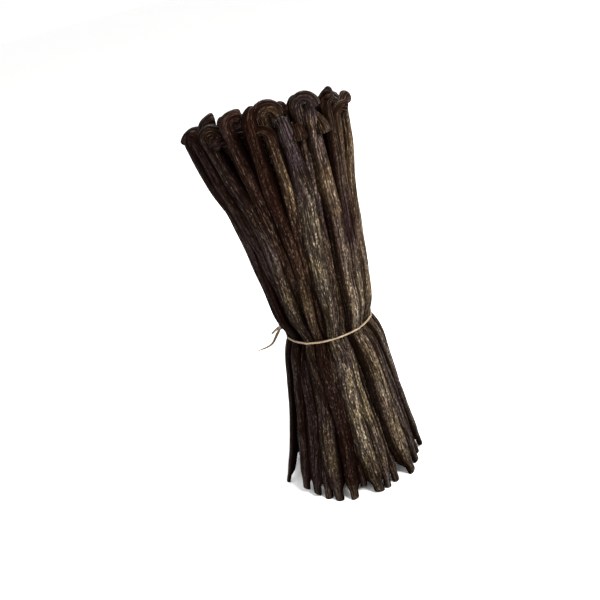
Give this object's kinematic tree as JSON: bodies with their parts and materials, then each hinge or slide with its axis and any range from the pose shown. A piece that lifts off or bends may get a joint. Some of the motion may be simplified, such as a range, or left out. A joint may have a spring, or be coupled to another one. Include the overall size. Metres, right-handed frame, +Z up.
{
  "type": "bundle of vanilla pods",
  "caption": "Standing bundle of dark cured vanilla pods, tied round the waist with raffia twine, splayed at the foot and hooked at the head.",
  "frame": {"origin": "centre of the whole bundle's bounding box, on the plane of the blossom ends it stands on", "axes": "+Z up along the bundle from its foot to its hooked head, -Y towards the front that the picture shows, +X to the right seen from the front"},
  "size_m": [0.07, 0.0667, 0.1819],
  "materials": {
    "pods": "oily, wrinkled, dark brown-black with golden and reddish tints",
    "twine": "natural raffia, matte"
  },
  "bodies": {
    "root": {"pods": "pods", "twine": "twine"}
  },
  "joints": []
}
